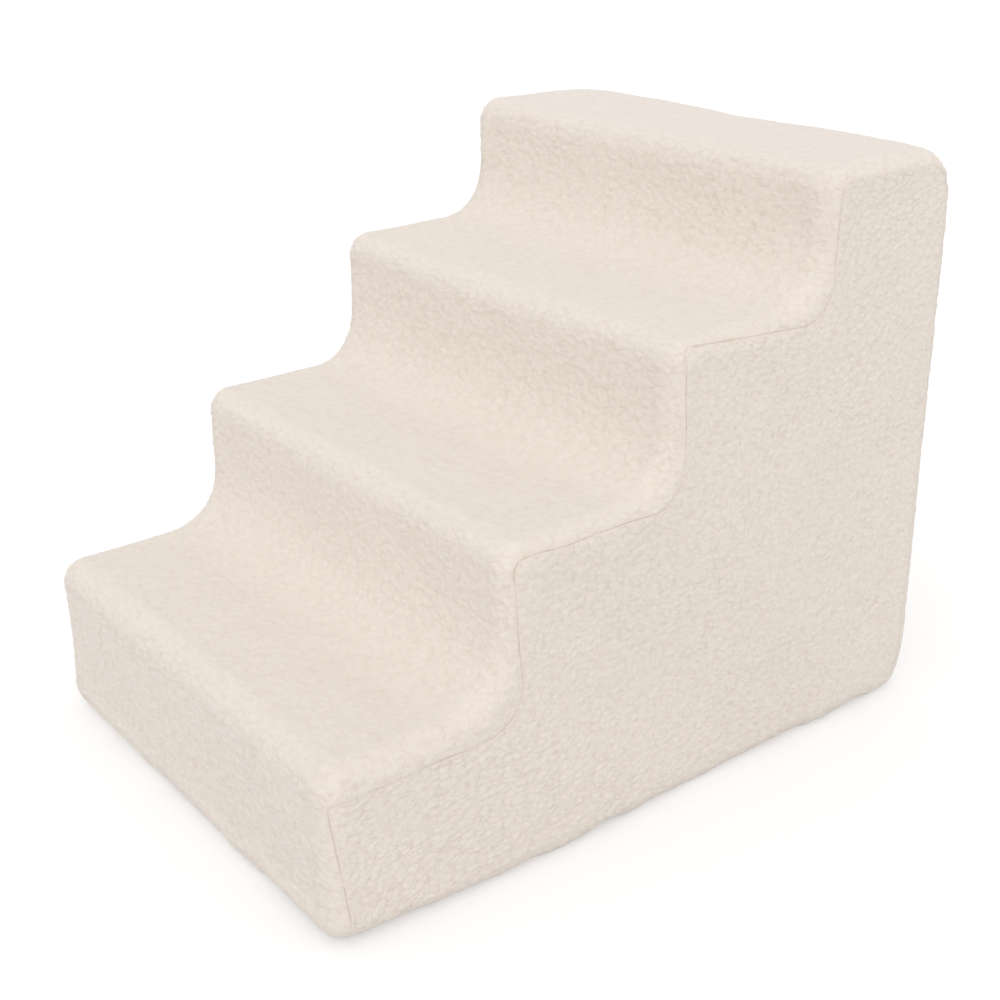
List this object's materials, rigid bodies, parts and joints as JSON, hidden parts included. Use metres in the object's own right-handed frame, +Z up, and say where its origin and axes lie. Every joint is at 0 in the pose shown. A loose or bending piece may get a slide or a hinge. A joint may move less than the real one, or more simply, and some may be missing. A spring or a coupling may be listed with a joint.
{
  "type": "pet stairs",
  "caption": "Soft foam pet stairs in a fleece cover, with rounded treads, a flat base and a zip low across the back.",
  "frame": {"origin": "middle of the footprint, on the floor", "axes": "+Z up; the front of the stairs faces -Y and the steps rise towards +Y; +X is to the right for someone who faces the front"},
  "size_m": [0.37, 0.508, 0.405],
  "materials": {
    "fleece": "matte",
    "foam": "matte",
    "glue": "satin",
    "base_fabric": "matte",
    "grip_rubber": "matte",
    "thread": "matte",
    "zip_tape": "matte",
    "zip_plastic": "satin",
    "zip_metal": "satin"
  },
  "bodies": {
    "stairs": {"tread_panel": "fleece", "side_panel_left": "fleece", "side_panel_right": "fleece", "back_hem_panel": "fleece", "base_panel": "base_fabric", "grip_dots": "grip_rubber", "side_seam_thread_left": "thread", "side_seam_thread_right": "thread", "base_seam_thread": "thread", "foam_slab_1": "foam", "foam_slab_2": "foam", "foam_slab_3": "foam", "foam_slab_4": "foam", "glue_layer_1": "glue", "glue_layer_2": "glue", "glue_layer_3": "glue", "zip_tape_upper": "zip_tape", "zip_tape_lower": "zip_tape", "zip_teeth_upper": "zip_plastic", "zip_teeth_lower": "zip_plastic", "zip_bottom_stop": "zip_metal", "zip_top_stops": "zip_metal", "zip_stitching_upper": "thread", "zip_stitching_lower": "thread"},
    "zip_slider": {"zip_slider": "zip_metal"},
    "zip_pull": {"zip_pull": "zip_metal"}
  },
  "joints": [
    {"name": "zip_slide", "type": "slide", "parent": "stairs", "child": "zip_slider", "axis": [-1, 0, 0], "range_m": [0, 0.2967], "deforming": ["zip_teeth_upper", "zip_teeth_lower"]},
    {"name": "pull_hinge", "type": "hinge", "parent": "zip_slider", "child": "zip_pull", "pos_m": [0.1541, 0.2516, 0.045], "axis": [0, 0, -1], "range_deg": [0, 150]}
  ]
}
